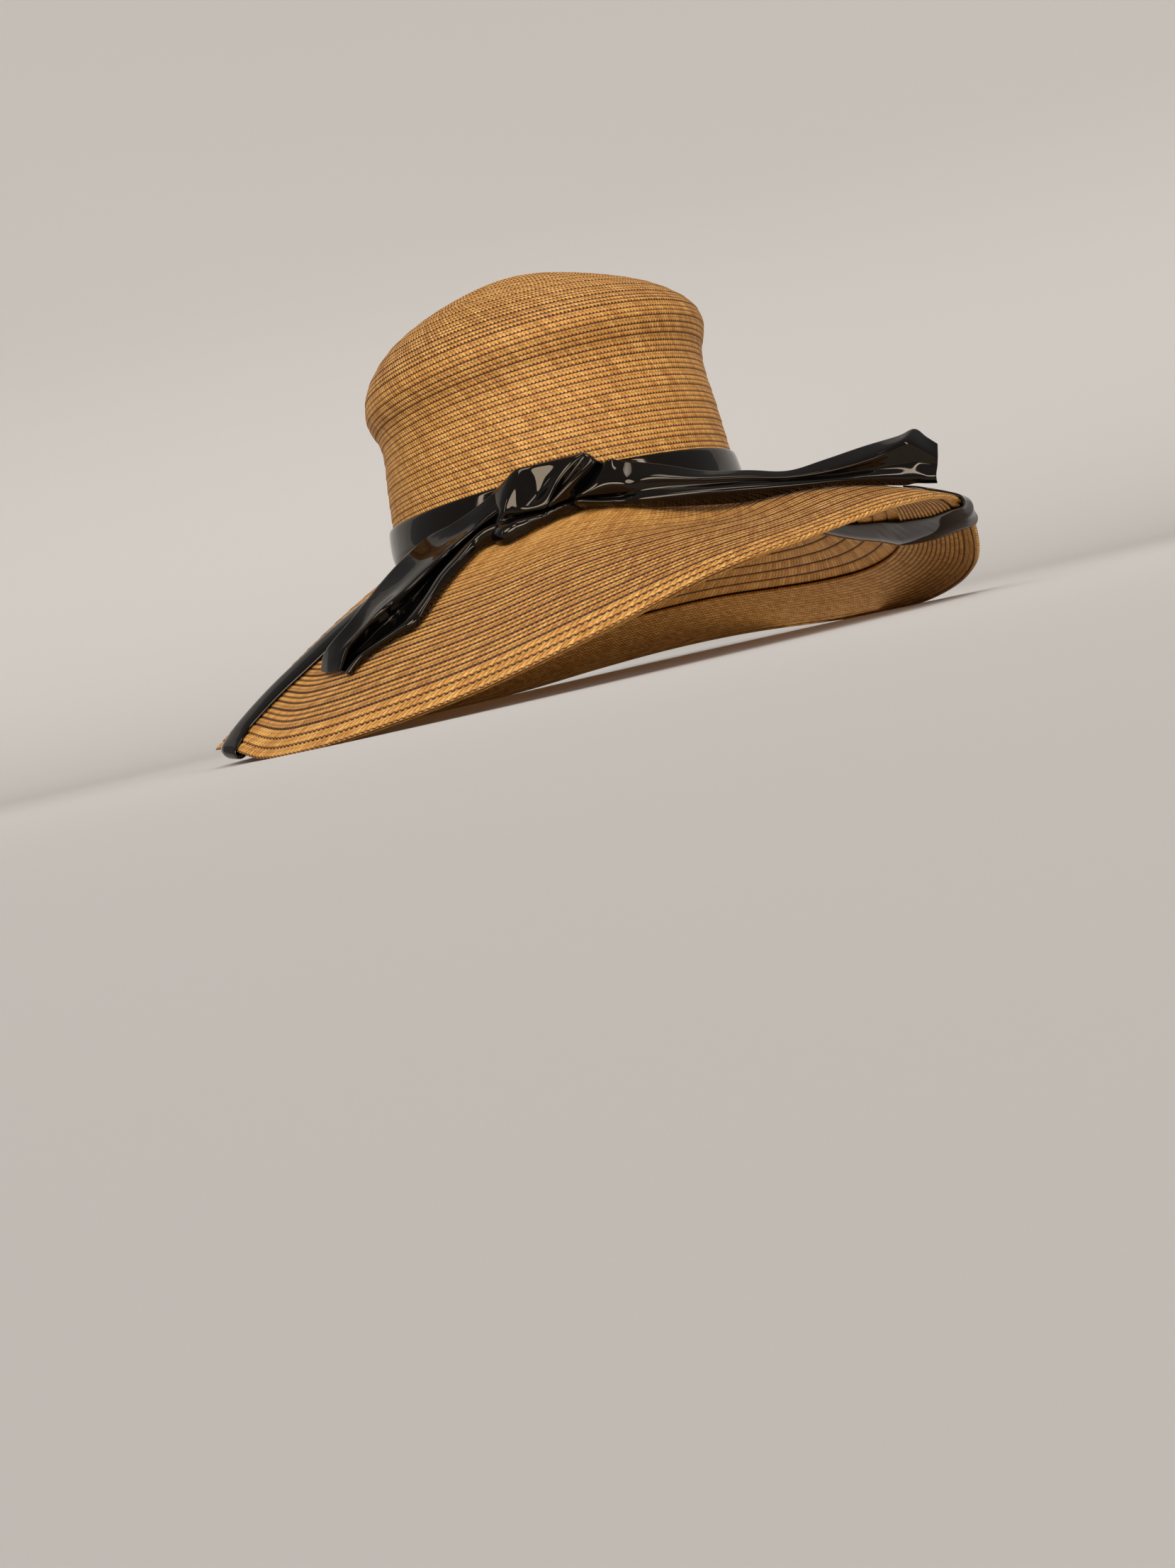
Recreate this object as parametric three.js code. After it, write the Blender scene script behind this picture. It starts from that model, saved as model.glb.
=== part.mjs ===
// A wide-brimmed hat of sewn straw braid, with a black patent band tied in front.
// Millimetres, +Z up. The front of the hat faces -Y, and angles run from +X round by the back (+Y).
import * as THREE from 'three';

// Head opening: an oval that is longer from front to back
const headHalfWidth = 86.5;
const headHalfDepth = 97.5;
const headLineHeight = 76;

// Walls, and the small gap between neighbouring pieces
const strawWall = 2.2;
const facingWall = 1.6;
const vinylWall = 1.6;
const pieceGap = 0.35;
const facingGap = 0.7;

// Facing under the rim: the share of the brim's width where it starts and ends
const facingStart = 0.7;
const facingEnd = 0.94;

// Steepness of the brim at its rim, from 0 where level to 1 where upright: the rim's lower edge is cut
// square to the brim below the first and level with the floor above the second
const squareRim = 0.3;
const levelRim = 0.55;

// Fineness of the faceted skins
const crownColumns = 56;
const crownSteps = 13;
const brimColumns = 72;
const brimSteps = 9;
const facingSteps = 3;
const bandColumns = 56;
const knotSteps = 14;
const tailSteps = 22;
const strapSteps = 42;

// Crown from the head line to the top: half width, and how far the right side rises and the left falls
const crownRows = [
  { height: 0, halfWidth: headHalfWidth, tilt: 0 },
  { height: 16, halfWidth: 86, tilt: 1 },
  { height: 40, halfWidth: 84, tilt: 3 },
  { height: 54, halfWidth: 82.4, tilt: 4 },
  { height: 64, halfWidth: 82.8, tilt: 5 },
  { height: 74, halfWidth: 86.2, tilt: 5.5 },
  { height: 82, halfWidth: 85.6, tilt: 4.5 },
  { height: 90, halfWidth: 81, tilt: 3 },
  { height: 99, halfWidth: 71, tilt: 1.5 },
  { height: 107, halfWidth: 56.5, tilt: 0.5 },
  { height: 114, halfWidth: 40, tilt: 0 },
  { height: 119.6, halfWidth: 24, tilt: 0 },
  { height: 122.6, halfWidth: 11, tilt: 0 },
  { height: 123.3, halfWidth: 0, tilt: 0 },
];

// Rim, a row every 15 degrees from +X: reach from the middle, height over the floor, and how far the
// brim bows up between head line and rim. A height under zero is a stretch that rests flat on the floor.
const rimRows = [
  { reach: 195, height: 15, bow: 3 },
  { reach: 195, height: 4, bow: 3 },
  { reach: 193, height: -2, bow: 4 },
  { reach: 190, height: 2, bow: 5 },
  { reach: 190, height: 6, bow: 6 },
  { reach: 192, height: 7, bow: 6 },
  { reach: 194, height: 5, bow: 6 },
  { reach: 195, height: 1, bow: 6 },
  { reach: 196, height: -2, bow: 6 },
  { reach: 196, height: -1, bow: 6 },
  { reach: 196, height: 3, bow: 5 },
  { reach: 195, height: 6, bow: 4 },
  { reach: 194, height: 8, bow: 4 },
  { reach: 194, height: 9, bow: 4 },
  { reach: 195, height: 8, bow: 4 },
  { reach: 196, height: -3, bow: 5 },
  { reach: 196, height: 2, bow: 6 },
  { reach: 195, height: 9, bow: 6 },
  { reach: 195, height: 20, bow: 6 },
  { reach: 194, height: 33, bow: 2 },
  { reach: 194, height: 41, bow: -1 },
  { reach: 194, height: 46, bow: 2 },
  { reach: 193, height: 45, bow: 4 },
  { reach: 192, height: 34, bow: 3 },
];

// Hollow pressed into the brim in front, beside the tie
const hollow = { angle: 297, share: 0.34, depth: 4, angleSpread: 16, shareSpread: 0.2 };

// Band section: height over the head line, and how far its soft outside stands off the crown
const bandRows = [
  { height: 1, out: 2.6 },
  { height: 4, out: 3 },
  { height: 9, out: 2.8 },
  { height: 14, out: 2.2 },
  { height: 17.5, out: 1.4 },
];

// Knot round the front of the band: its lowest and highest edge, and how far it stands out
const knotStandOff = 3.6;
const knotRows = [
  { angle: 249, low: 78, high: 88, depth: 3 },
  { angle: 255, low: 76, high: 95, depth: 9 },
  { angle: 260, low: 75, high: 99, depth: 12 },
  { angle: 266, low: 75, high: 95, depth: 13 },
  { angle: 272, low: 75, high: 94, depth: 12 },
  { angle: 278, low: 75, high: 98, depth: 11 },
  { angle: 284, low: 76, high: 93, depth: 8 },
  { angle: 288, low: 78, high: 88, depth: 3 },
];
const knotFolds = [
  { up: 0, out: 0.2 },
  { up: 0.2, out: 0.95 },
  { up: 0.4, out: 0.6 },
  { up: 0.6, out: 1 },
  { up: 0.8, out: 0.7 },
  { up: 1, out: 0.2 },
];

// Free ends of the tie, from the knot outwards: place on the brim, height over it, width,
// turn about the strip's own length and how high its folds stand
const tailLeftRows = [
  { angle: 247, share: 0.1, lift: 5, width: 16, turn: -12, fold: 3 },
  { angle: 241, share: 0.12, lift: 4.6, width: 20, turn: -10, fold: 5 },
  { angle: 237, share: 0.2, lift: 4.2, width: 24, turn: -8, fold: 7 },
  { angle: 235, share: 0.31, lift: 4, width: 28, turn: -6, fold: 8 },
  { angle: 235, share: 0.43, lift: 3.8, width: 30, turn: -4, fold: 8 },
  { angle: 234, share: 0.52, lift: 3.6, width: 30, turn: -2, fold: 8 },
  { angle: 231, share: 0.59, lift: 3.4, width: 24, turn: 0, fold: 7 },
  { angle: 229, share: 0.66, lift: 3.2, width: 20, turn: 0, fold: 7 },
  { angle: 229, share: 0.73, lift: 3.2, width: 18, turn: 0, fold: 6 },
];
const tailLeftFolds = [
  { across: -0.5, rise: 0.3 },
  { across: -0.3, rise: 0.7 },
  { across: -0.12, rise: 1 },
  { across: 0.08, rise: 0.25 },
  { across: 0.3, rise: 0.25 },
  { across: 0.43, rise: 0.7 },
  { across: 0.5, rise: 0.1 },
];
const tailRightRows = [
  { angle: 289, share: 0.13, lift: 3.5, width: 19, turn: 55, fold: 4 },
  { angle: 292, share: 0.2, lift: 3, width: 18, turn: 55, fold: 4 },
  { angle: 298, share: 0.28, lift: 2.6, width: 15, turn: 52, fold: 4 },
  { angle: 306, share: 0.4, lift: 2.6, width: 10, turn: 54, fold: 3.4 },
  { angle: 313, share: 0.53, lift: 2.8, width: 7.5, turn: 60, fold: 2.8 },
  { angle: 320, share: 0.66, lift: 2.6, width: 11, turn: 66, fold: 2.8 },
  { angle: 327, share: 0.81, lift: 2.6, width: 17, turn: 70, fold: 2.6 },
  { angle: 331, share: 0.92, lift: 2.8, width: 20, turn: 72, fold: 2.4 },
];
const tailRightFolds = [
  { across: 0, rise: 0.2 },
  { across: 0.14, rise: 1 },
  { across: 0.34, rise: 0.3 },
  { across: 0.56, rise: 0.8 },
  { across: 0.78, rise: 0.4 },
  { across: 1, rise: 0.6 },
];

// Straps over the rim: place along the brim, and height over its top (under it where negative)
const strapWidth = 15;
const strapHump = 0.5;
const strapFolds = [
  { across: -0.5, rise: 0 },
  { across: 0, rise: 1 },
  { across: 0.5, rise: 0 },
];
const strapLeftRows = [
  { angle: 224, share: 0.06, lift: 0.8 },
  { angle: 221, share: 0.18, lift: 1 },
  { angle: 217.5, share: 0.31, lift: 1 },
  { angle: 214.5, share: 0.45, lift: 1 },
  { angle: 212.5, share: 0.585, lift: 0.7 },
  { angle: 210.3, share: 0.72, lift: 0.5 },
  { angle: 209, share: 0.86, lift: 0.5 },
  { angle: 210, share: 0.975, lift: 0.8 },
  { angle: 211, share: 1.016, lift: -0.6 },
  { angle: 211, share: 1.014, lift: -3.4 },
  { angle: 211, share: 0.98, lift: -5.3 },
  { angle: 209, share: 0.86, lift: -5.4 },
  { angle: 205, share: 0.72, lift: -5.4 },
  { angle: 200, share: 0.58, lift: -3.2 },
  { angle: 192, share: 0.32, lift: -3 },
  { angle: 184, share: 0.08, lift: -3 },
];
const strapRightRows = [
  { angle: 329, share: 0.8, lift: 0.5 },
  { angle: 332, share: 0.9, lift: 0.5 },
  { angle: 336, share: 0.975, lift: 0.6 },
  { angle: 338, share: 1.012, lift: -0.6 },
  { angle: 340, share: 1.008, lift: -3.4 },
  { angle: 342, share: 0.975, lift: -5.3 },
  { angle: 348, share: 0.86, lift: -5.4 },
  { angle: 352, share: 0.72, lift: -5.4 },
  { angle: 357, share: 0.58, lift: -3.2 },
  { angle: 364, share: 0.36, lift: -3 },
  { angle: 369, share: 0.08, lift: -3 },
];

// Finishes
const strawColour = '#c08d4c';
const facingColour = '#a87638';
const vinylColour = '#141112';

const fullTurn = Math.PI * 2;
// Small step that finds the direction of a line or surface
const nudge = 0.004;
const radians = THREE.MathUtils.degToRad;

// Every column of a table, read smoothly at a place from 0 at its first row to 1 at its last,
// or back at its first where the table runs round in a ring
function readRows(rows, place, isRing = false) {
  const spans = isRing ? rows.length : rows.length - 1;
  const spot = isRing ? THREE.MathUtils.euclideanModulo(place, 1) * spans : place * spans;
  const first = Math.min(Math.floor(spot), spans - 1);
  const along = spot - first;
  const rowAt = (index) => (isRing
    ? rows[THREE.MathUtils.euclideanModulo(index, rows.length)]
    : rows[THREE.MathUtils.clamp(index, 0, rows.length - 1)]);
  const [before, here, next, after] = [-1, 0, 1, 2].map((offset) => rowAt(first + offset));
  const reading = {};
  for (const column of Object.keys(here)) {
    const startSlope = (next[column] - before[column]) / 2;
    const endSlope = (after[column] - here[column]) / 2;
    const rise = next[column] - here[column];
    const curve = (3 * rise - 2 * startSlope - endSlope) * along ** 2;
    const twist = (startSlope + endSlope - 2 * rise) * along ** 3;
    reading[column] = here[column] + startSlope * along + curve + twist;
  }
  return reading;
}

// A closed skin over equal loops of points: a ring joins its last loop to its first, and a strip,
// whose loops run out along one face and back along the other, is closed by its two ends
function skin(loops, isRing) {
  const size = loops[0].length;
  const faces = [];
  const addQuad = (a, b, c, d) => faces.push(a, b, c, a, c, d);
  const spans = isRing ? loops.length : loops.length - 1;
  for (let loop = 0; loop < spans; loop += 1) {
    const here = loop * size;
    const next = ((loop + 1) % loops.length) * size;
    for (let spot = 0; spot < size; spot += 1) {
      const follow = (spot + 1) % size;
      addQuad(here + spot, next + spot, next + follow, here + follow);
    }
  }
  if (!isRing) {
    const end = (loops.length - 1) * size;
    for (let spot = 0; spot < size / 2 - 1; spot += 1) {
      const back = size - 1 - spot;
      addQuad(spot, spot + 1, back - 1, back);
      addQuad(end + spot, end + back, end + back - 1, end + spot + 1);
    }
  }
  const corners = loops.flat();
  return facingOut(corners, faces);
}

// Triangles turned so that the skin faces out, with the collapsed ones at a pole left out
function facingOut(corners, faces) {
  const kept = [];
  let volume = 0;
  const edge = new THREE.Vector3();
  for (let face = 0; face < faces.length; face += 3) {
    const [a, b, c] = [0, 1, 2].map((step) => corners[faces[face + step]]);
    if (a.equals(b) || b.equals(c) || c.equals(a)) continue;
    volume += a.dot(edge.crossVectors(b, c));
    kept.push(faces.slice(face, face + 3));
  }
  const turned = volume < 0 ? kept.map(([a, b, c]) => [a, c, b]) : kept;
  const geometry = new THREE.BufferGeometry();
  geometry.setFromPoints(corners);
  geometry.setIndex(turned.flat());
  geometry.computeVertexNormals();
  return geometry;
}

function steps(count) {
  return Array.from({ length: count + 1 }, (_, index) => index / count);
}

function columns(count) {
  return Array.from({ length: count }, (_, index) => (index / count) * fullTurn);
}

// Crown wall: a point round the oval, at a place up the profile, set in by part of the wall
function crownPoint(angle, place, inset) {
  const row = readRows(crownRows, place);
  const lower = readRows(crownRows, Math.max(place - nudge, 0));
  const upper = readRows(crownRows, Math.min(place + nudge, 1));
  const slope = new THREE.Vector2(upper.halfWidth - lower.halfWidth, upper.height - lower.height).normalize();
  const halfWidth = place === 1 ? 0 : row.halfWidth - inset * slope.y;
  const height = row.height + inset * slope.x;
  const x = halfWidth * Math.cos(angle);
  const y = halfWidth * Math.sin(angle) * (headHalfDepth / headHalfWidth);
  const lean = row.tilt * (x / headHalfWidth);
  return new THREE.Vector3(x, y, headLineHeight + pieceGap + height + lean);
}

function makeCrown() {
  const outside = steps(crownSteps);
  const inside = [...outside].reverse();
  const loops = columns(crownColumns).map((angle) => [
    ...outside.map((place) => crownPoint(angle, place, 0)),
    ...inside.map((place) => crownPoint(angle, place, strawWall)),
  ]);
  return skin(loops, true);
}

// Brim: its top face at an angle, and at a share of the way from the head opening to the rim
function brimTop(angle, share) {
  const rim = readRows(rimRows, angle / fullTurn, true);
  const cos = Math.cos(angle);
  const sin = Math.sin(angle);
  const lerp = THREE.MathUtils.lerp;
  const x = lerp((headHalfWidth - strawWall) * cos, rim.reach * cos, share);
  const y = lerp((headHalfDepth - strawWall) * sin, rim.reach * sin, share);
  const fall = lerp(headLineHeight, Math.max(rim.height, 0), share);
  const bow = 4 * rim.bow * share * (1 - share);
  return new THREE.Vector3(x, y, fall + bow - hollowDepth(angle, share));
}

function hollowDepth(angle, share) {
  const degrees = THREE.MathUtils.euclideanModulo(THREE.MathUtils.radToDeg(angle), 360);
  const aside = (degrees - hollow.angle) / hollow.angleSpread;
  const along = (share - hollow.share) / hollow.shareSpread;
  return hollow.depth * Math.exp(-(aside ** 2) - along ** 2);
}

function brimAround(angle, share) {
  return brimTop(angle + nudge, share).sub(brimTop(angle - nudge, share)).normalize();
}

function brimNormal(angle, share) {
  const outward = brimTop(angle, share + nudge).sub(brimTop(angle, share - nudge));
  return outward.cross(brimAround(angle, share)).normalize();
}

function overBrim(angle, share, lift) {
  return brimTop(angle, share).addScaledVector(brimNormal(angle, share), lift);
}

// Lower edge of the rim: cut level where the brim falls steeply, square to it where it lies flat
function rimFoot(angle) {
  const edge = brimTop(angle, 1);
  const normal = brimNormal(angle, 1);
  const steepness = Math.hypot(normal.x, normal.y);
  const levelFoot = new THREE.Vector3(-normal.x, -normal.y, 0).setLength(strawWall / steepness).add(edge);
  const squareFoot = overBrim(angle, 1, -strawWall);
  return squareFoot.lerp(levelFoot, THREE.MathUtils.smoothstep(steepness, squareRim, levelRim));
}

function makeBrim() {
  const shares = steps(brimSteps);
  const inward = shares.slice(0, -1).reverse();
  const loops = columns(brimColumns).map((angle) => [
    ...shares.map((share) => brimTop(angle, share)),
    rimFoot(angle),
    ...inward.map((share) => overBrim(angle, share, -strawWall)),
  ]);
  return skin(loops, true);
}

function makeFacing() {
  const top = -(strawWall + facingGap);
  const shares = steps(facingSteps).map((place) => THREE.MathUtils.lerp(facingStart, facingEnd, place));
  const inward = [...shares].reverse();
  const loops = columns(brimColumns).map((angle) => [
    ...shares.map((share) => overBrim(angle, share, top)),
    ...inward.map((share) => overBrim(angle, share, top - facingWall)),
  ]);
  return skin(loops, true);
}

// A point at a height over the head line, standing off the foot of the crown
function besideCrown(angle, height, standOff) {
  const wide = headHalfWidth + standOff;
  const deep = headHalfDepth + standOff;
  return new THREE.Vector3(wide * Math.cos(angle), deep * Math.sin(angle), headLineHeight + height);
}

function makeBand() {
  const inside = [...bandRows].reverse();
  const loops = columns(bandColumns).map((angle) => [
    ...bandRows.map((row) => besideCrown(angle, row.height, row.out)),
    ...inside.map((row) => besideCrown(angle, row.height, pieceGap)),
  ]);
  return skin(loops, true);
}

function makeKnot() {
  const backwards = [...knotFolds].reverse();
  const loops = steps(knotSteps).map((place) => {
    const row = readRows(knotRows, place);
    const angle = radians(row.angle);
    const heightAt = (fold) => THREE.MathUtils.lerp(row.low, row.high, fold.up) - headLineHeight;
    return [
      ...knotFolds.map((fold) => besideCrown(angle, heightAt(fold), knotStandOff + row.depth * fold.out)),
      ...backwards.map((fold) => besideCrown(angle, heightAt(fold), knotStandOff)),
    ];
  });
  return skin(loops, false);
}

// A strip of sheet along stations, each with its middle, its sideways and its upright direction
function strip(stations, folds) {
  const backwards = [...folds].reverse();
  const pointAt = (station, fold, wall) => station.middle.clone()
    .addScaledVector(station.side, fold.across * station.width)
    .addScaledVector(station.up, fold.rise * station.fold + wall);
  const loops = stations.map((station) => [
    ...folds.map((fold) => pointAt(station, fold, vinylWall)),
    ...backwards.map((fold) => pointAt(station, fold, 0)),
  ]);
  return skin(loops, false);
}

// Direction of a table's middle line over the brim
function courseOf(rows, place) {
  const ends = [Math.max(place - nudge, 0), Math.min(place + nudge, 1)].map((spot) => {
    const row = readRows(rows, spot);
    return overBrim(radians(row.angle), row.share, row.lift);
  });
  return ends[1].sub(ends[0]).normalize();
}

// Free end of the tie: it lies along the brim, turned about its own length
function makeTail(rows, folds) {
  const stations = steps(tailSteps).map((place) => {
    const row = readRows(rows, place);
    const angle = radians(row.angle);
    const course = courseOf(rows, place);
    const side = brimNormal(angle, row.share).cross(course).normalize();
    side.applyAxisAngle(course, radians(row.turn));
    const up = course.clone().cross(side).normalize();
    return { middle: overBrim(angle, row.share, row.lift), side, up, width: row.width, fold: row.fold };
  });
  return strip(stations, folds);
}

// Strap: it runs out over the brim, round the rim and back underneath to the head line
function makeStrap(rows) {
  const stations = steps(strapSteps).map((place) => {
    const row = readRows(rows, place);
    const angle = radians(row.angle);
    const course = courseOf(rows, place);
    const side = brimAround(angle, row.share);
    side.addScaledVector(course, -side.dot(course)).normalize();
    const up = course.clone().cross(side).normalize();
    const middle = overBrim(angle, row.share, row.lift);
    return { middle, side, up, width: strapWidth, fold: strapHump };
  });
  return strip(stations, strapFolds);
}

function straw(color) {
  return new THREE.MeshStandardMaterial({ color, roughness: 0.75, metalness: 0 });
}

function patentVinyl() {
  return new THREE.MeshStandardMaterial({ color: vinylColour, roughness: 0.12, metalness: 0 });
}

function addPiece(group, name, geometry, material) {
  const piece = new THREE.Mesh(geometry, material);
  piece.name = name;
  group.add(piece);
}

const hat = new THREE.Group();
addPiece(hat, 'crown', makeCrown(), straw(strawColour));
addPiece(hat, 'brim', makeBrim(), straw(strawColour));
addPiece(hat, 'brim_facing', makeFacing(), straw(facingColour));
addPiece(hat, 'crown_band', makeBand(), patentVinyl());
addPiece(hat, 'knot', makeKnot(), patentVinyl());
addPiece(hat, 'tail_left', makeTail(tailLeftRows, tailLeftFolds), patentVinyl());
addPiece(hat, 'tail_right', makeTail(tailRightRows, tailRightFolds), patentVinyl());
addPiece(hat, 'strap_left', makeStrap(strapLeftRows), patentVinyl());
addPiece(hat, 'strap_right', makeStrap(strapRightRows), patentVinyl());

// The origin is the middle of the hat's floor outline, on the floor
const outline = new THREE.Box3().setFromObject(hat);
const middle = outline.getCenter(new THREE.Vector3());
hat.position.set(-middle.x, -middle.y, -outline.min.z);

export default hat;
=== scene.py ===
import math

import bpy
import numpy as np
from mathutils import Matrix, Vector


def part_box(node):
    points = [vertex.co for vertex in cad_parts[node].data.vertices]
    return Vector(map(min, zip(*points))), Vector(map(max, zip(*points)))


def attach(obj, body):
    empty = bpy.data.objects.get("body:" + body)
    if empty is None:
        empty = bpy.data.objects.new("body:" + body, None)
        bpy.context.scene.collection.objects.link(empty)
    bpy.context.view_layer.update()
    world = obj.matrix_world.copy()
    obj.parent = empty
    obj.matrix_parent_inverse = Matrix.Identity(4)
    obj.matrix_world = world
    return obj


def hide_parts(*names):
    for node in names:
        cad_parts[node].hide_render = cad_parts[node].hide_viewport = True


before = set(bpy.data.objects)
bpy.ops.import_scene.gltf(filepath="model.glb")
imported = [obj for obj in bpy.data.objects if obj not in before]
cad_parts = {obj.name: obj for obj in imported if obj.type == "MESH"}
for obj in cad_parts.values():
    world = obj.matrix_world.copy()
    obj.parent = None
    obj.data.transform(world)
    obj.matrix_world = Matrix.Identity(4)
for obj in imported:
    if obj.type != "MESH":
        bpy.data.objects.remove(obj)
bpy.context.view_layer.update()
fullTurn = 2 * math.pi
mm = 0.001

# The form of the hat, in millimetres; angles run from +X round by the back
hatForm = dict(headHalfWidth=86.5, headHalfDepth=97.5, headLine=76.0, wall=2.2, crownGap=0.35, rimSteps=72,
               facingStart=0.7, facingEnd=0.945)  # shares of the brim from the head opening to the rim
crownRows = np.array([  # height over the head line, half width, rise of the right side
    (0, 86.5, 0), (16, 86, 1), (40, 84, 3), (54, 82.4, 4), (64, 82.8, 5), (74, 86.2, 5.5), (82, 85.6, 4.5),
    (90, 81, 3), (99, 71, 1.5), (107, 56.5, 0.5), (114, 40, 0), (119.6, 24, 0), (122.6, 11, 0),
    (123.3, 0, 0)], float)
rimRows = np.array([  # every 15 degrees: reach, height over the floor, bow of the brim
    (195, 15, 3), (195, 4, 3), (193, -2, 4), (190, 2, 5), (190, 6, 6), (192, 7, 6),
    (194, 5, 6), (195, 1, 6), (196, -2, 6), (196, -1, 6), (196, 3, 5), (195, 6, 4),
    (194, 8, 4), (194, 9, 4), (195, 8, 4), (196, -3, 5), (196, 2, 6), (195, 9, 6),
    (195, 20, 6), (194, 33, 2), (194, 41, -1), (194, 46, 2), (193, 45, 4), (192, 34, 3)], float)
frontHollow = dict(angle=297, share=0.34, depth=4, angleSpread=16, shareSpread=0.2)
floorEase = dict(spread=2, sink=1)  # how softly the rim meets the floor where it would dip lower


def readRows(rows, place, ring=False):  # a smooth line through the rows of a table
    rows = np.asarray(rows, float)
    count = len(rows)
    place = np.asarray(place, float)
    spans = count if ring else count - 1
    spot = (place % 1.0 if ring else place) * spans
    first = np.minimum(np.floor(spot).astype(int), spans - 1)
    along = (spot - first)[..., None]
    pick = (lambda i: rows[i % count]) if ring else (lambda i: rows[np.clip(i, 0, count - 1)])
    before, here, ahead, after = pick(first - 1), pick(first), pick(first + 1), pick(first + 2)
    startSlope, endSlope, rise = (ahead - before) / 2, (after - here) / 2, ahead - here
    return (here + startSlope * along + (3 * rise - 2 * startSlope - endSlope) * along ** 2
            + (startSlope + endSlope - 2 * rise) * along ** 3)


def unit(vectors):
    return vectors / np.maximum(np.linalg.norm(vectors, axis=-1, keepdims=True), 1e-9)


def brimTop(angle, share):  # angle in radians, share from the head opening to the rim
    angle, share = np.broadcast_arrays(np.asarray(angle, float), np.asarray(share, float))
    rim = readRows(rimRows, angle / fullTurn, ring=True)
    reach, half, bow = rim[..., 0], rim[..., 1] / 2, rim[..., 2]
    height = np.maximum(half + np.sqrt(half ** 2 + floorEase["spread"] ** 2) - floorEase["sink"], 0)
    wide = hatForm["headHalfWidth"] - hatForm["wall"]
    deep = hatForm["headHalfDepth"] - hatForm["wall"]
    x = (wide + (reach - wide) * share) * np.cos(angle)
    y = (deep + (reach - deep) * share) * np.sin(angle)
    aside = (np.degrees(angle) % 360 - frontHollow["angle"]) / frontHollow["angleSpread"]
    inward = (share - frontHollow["share"]) / frontHollow["shareSpread"]
    dip = frontHollow["depth"] * np.exp(-aside ** 2 - inward ** 2)
    z = hatForm["headLine"] + (height - hatForm["headLine"]) * share + 4 * bow * share * (1 - share) - dip
    return np.stack([x, y, z], -1)


def brimNormal(angle, share, nudge=0.004):
    outward = brimTop(angle, share + nudge) - brimTop(angle, share - nudge)
    around = brimTop(angle + nudge, share) - brimTop(angle - nudge, share)
    return unit(np.cross(outward, around))


def overBrim(angle, share, lift):
    angle, share, lift = np.broadcast_arrays(*[np.asarray(a, float) for a in (angle, share, lift)])
    return brimTop(angle, share) + brimNormal(angle, share) * lift[..., None]


def besideCrown(angle, height, standOff):  # height over the head line, distance from the crown's foot
    angle, height, standOff = np.broadcast_arrays(*[np.asarray(a, float) for a in (angle, height, standOff)])
    x = (hatForm["headHalfWidth"] + standOff) * np.cos(angle)
    y = (hatForm["headHalfDepth"] + standOff) * np.sin(angle)
    return np.stack([x, y, hatForm["headLine"] + height], -1)


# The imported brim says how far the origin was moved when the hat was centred
rimRing = brimTop(np.arange(hatForm["rimSteps"]) / hatForm["rimSteps"] * fullTurn, 1.0)
brimLow, brimHigh = (np.array(c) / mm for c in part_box("brim"))
originShift = (brimLow + brimHigh) / 2 - (rimRing.min(0) + rimRing.max(0)) / 2
originShift[2] = brimLow[2] - rimRing[:, 2].min()
print("hat form read, origin moved by", originShift.round(3))

# Camera: near the floor in front, looking a little up, rolled so that the lifted side is high
cameraView = dict(target=(0, 0, 94), distance=776, elevation=-6.2, roll=13, targetPixel=(793, 697),
                  frameSize=(1658, 2212), focalPixels=2150, film=36)


def makeCamera(v):
    elevation, roll = math.radians(v["elevation"]), math.radians(v["roll"])
    backward = Vector((0, -math.cos(elevation), math.sin(elevation)))
    spot = (Vector(v["target"]) + v["distance"] * backward + Vector(originShift)) * mm
    forward = -backward
    right = forward.cross(Vector((0, 0, 1))).normalized()
    up = right.cross(forward)
    leanRight = math.cos(roll) * right - math.sin(roll) * up
    leanUp = math.sin(roll) * right + math.cos(roll) * up
    width, height = v["frameSize"]
    aside = (v["targetPixel"][0] - width / 2) / v["focalPixels"]
    above = -(v["targetPixel"][1] - height / 2) / v["focalPixels"]
    turn = Vector((0, 0, 1)).rotation_difference(Vector((aside, above, 1)).normalized()).to_matrix()
    axes = turn @ Matrix((leanRight, leanUp, forward))
    data = bpy.data.cameras.new("photoCamera")
    data.sensor_fit = "VERTICAL"
    data.sensor_height = v["film"]
    data.lens = v["film"] * v["focalPixels"] / height
    data.clip_start = 0.01
    camera = bpy.data.objects.new("photoCamera", data)
    bpy.context.collection.objects.link(camera)
    facing = Matrix((axes[0], axes[1], -axes[2])).transposed().to_4x4()
    camera.matrix_world = Matrix.Translation(spot) @ facing
    bpy.context.scene.camera = camera


makeCamera(cameraView)
print("camera set")


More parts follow.
